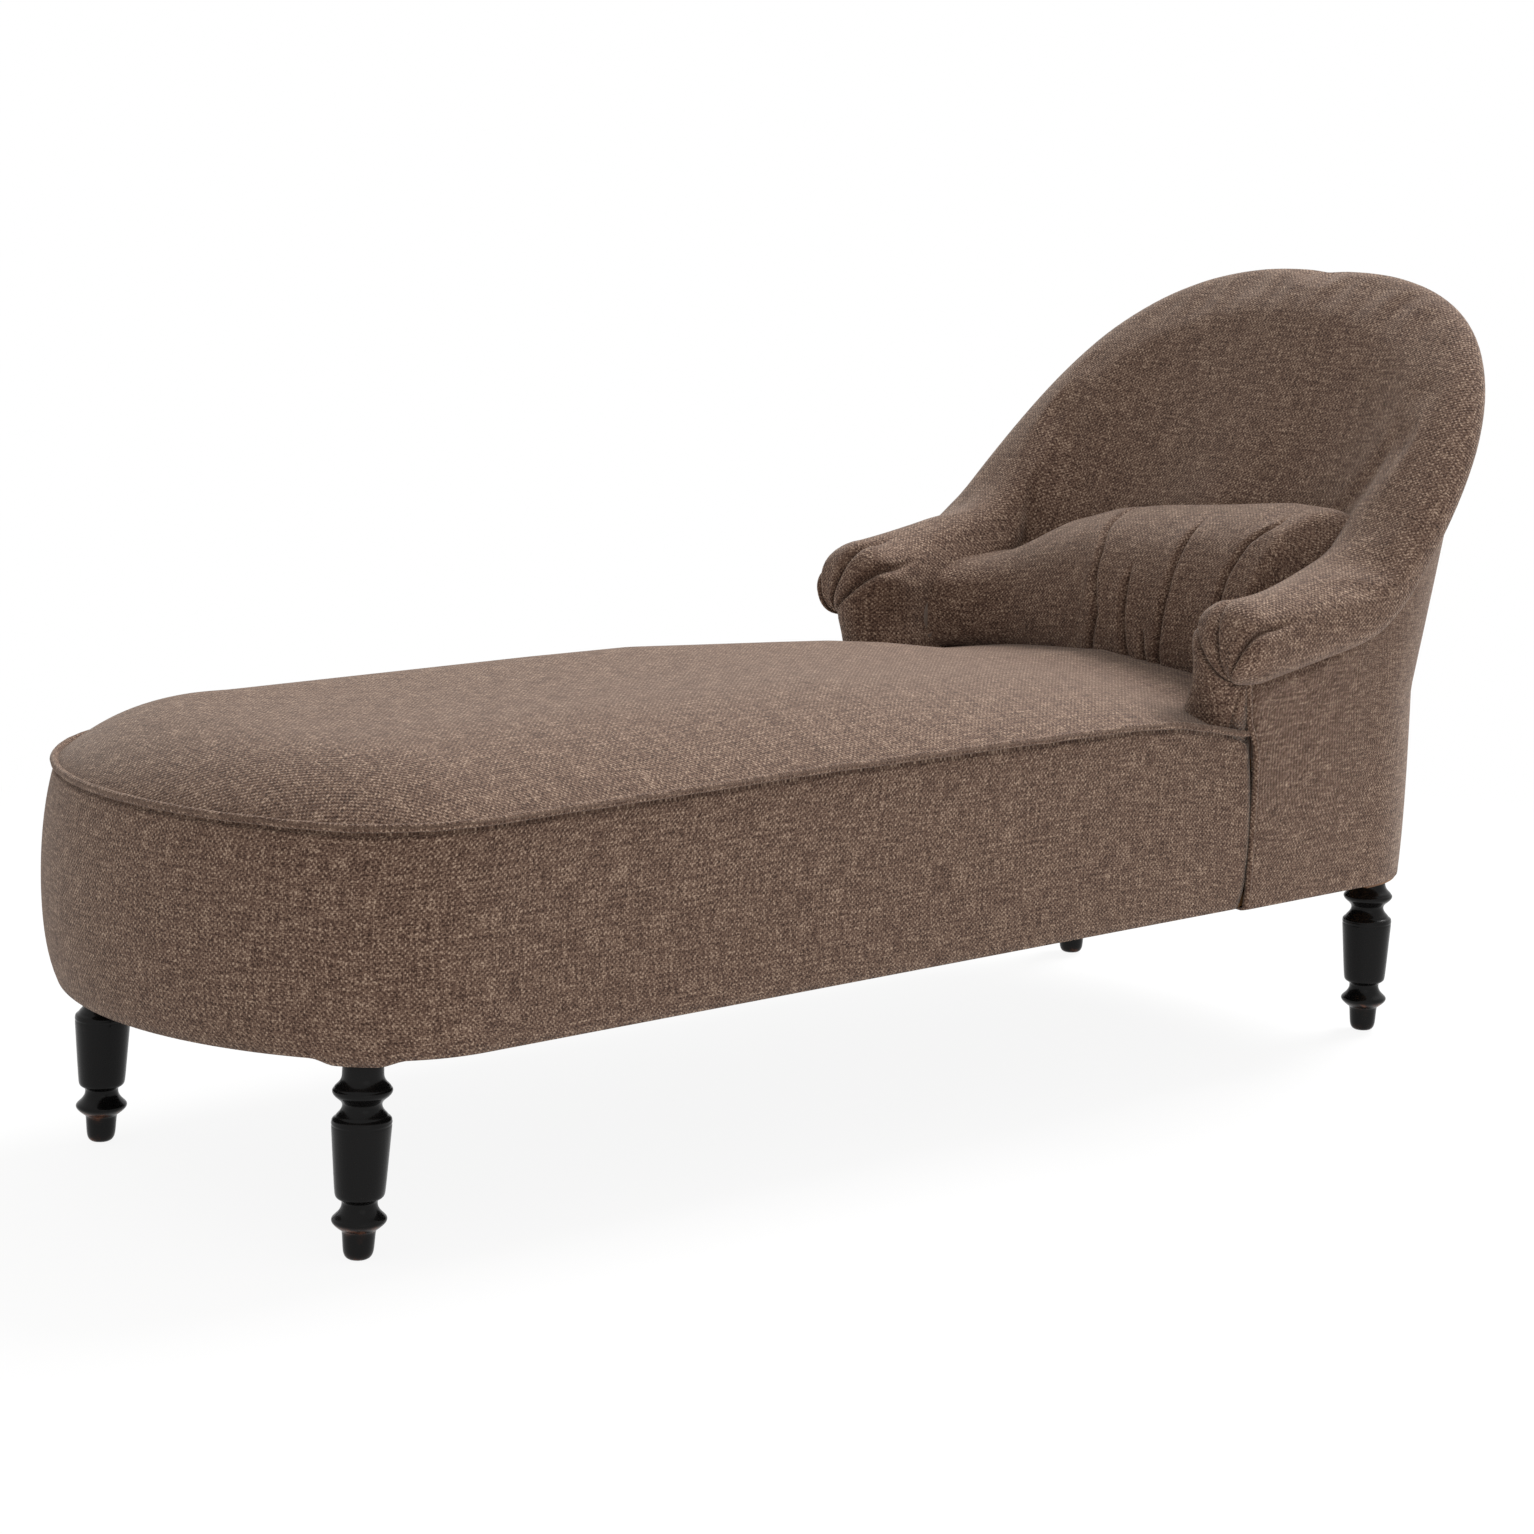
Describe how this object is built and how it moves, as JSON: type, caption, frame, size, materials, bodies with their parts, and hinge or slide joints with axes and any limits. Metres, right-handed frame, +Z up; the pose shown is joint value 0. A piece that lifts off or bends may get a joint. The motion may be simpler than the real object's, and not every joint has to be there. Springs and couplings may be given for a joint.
{
  "type": "chaise sofa",
  "caption": "Upholstered chaise longue with a round foot end, raked tub back, short rolled arms, piped seat edge and dark turned legs.",
  "frame": {"origin": "bottom centre of the whole piece, on the floor between the legs", "axes": "+X towards the back, -X towards the round foot end, -Y the side nearest the camera in the picture, +Y the far side, +Z up"},
  "size_m": [1.6142, 0.7088, 0.8216],
  "materials": {
    "ebonised_wood": "satin black lacquer, rubbed brown at the edges",
    "frame_wood": "bare planed beech",
    "upholstery": "brown basket weave with pale flecks",
    "stuffing": "hair and wadding",
    "jute": "plain jute",
    "spring_steel": "copper-washed wire",
    "dust_cloth": "black cambric"
  },
  "bodies": {
    "root": {"leg_foot_left": "ebonised_wood", "leg_foot_right": "ebonised_wood", "leg_head_left": "ebonised_wood", "leg_head_right": "ebonised_wood", "foot_block_left": "frame_wood", "foot_block_right": "frame_wood", "head_block_left": "frame_wood", "head_block_right": "frame_wood", "foot_rail": "frame_wood", "head_rail": "frame_wood", "side_rail_left": "frame_wood", "side_rail_right": "frame_wood", "seat_cross_braces": "frame_wood", "crest_rail": "frame_wood", "stay_rail": "frame_wood", "back_post_left": "frame_wood", "back_post_right": "frame_wood", "arm_rail_left": "frame_wood", "arm_rail_right": "frame_wood", "arm_stump_left": "frame_wood", "arm_stump_right": "frame_wood", "webbing_long": "jute", "webbing_cross": "jute", "spring_twine_long": "jute", "spring_twine_cross": "jute", "spring_hessian": "jute", "seat_springs": "spring_steel", "seat_stuffing": "stuffing", "seat_top_cover": "upholstery", "seat_border": "upholstery", "seat_welt": "upholstery", "seam_piping_left": "upholstery", "seam_piping_right": "upholstery", "lumbar_pad": "upholstery", "back_pad": "upholstery", "arm_pad_left": "upholstery", "arm_pad_right": "upholstery", "outside_cover": "upholstery", "dust_cloth": "dust_cloth"}
  },
  "joints": []
}
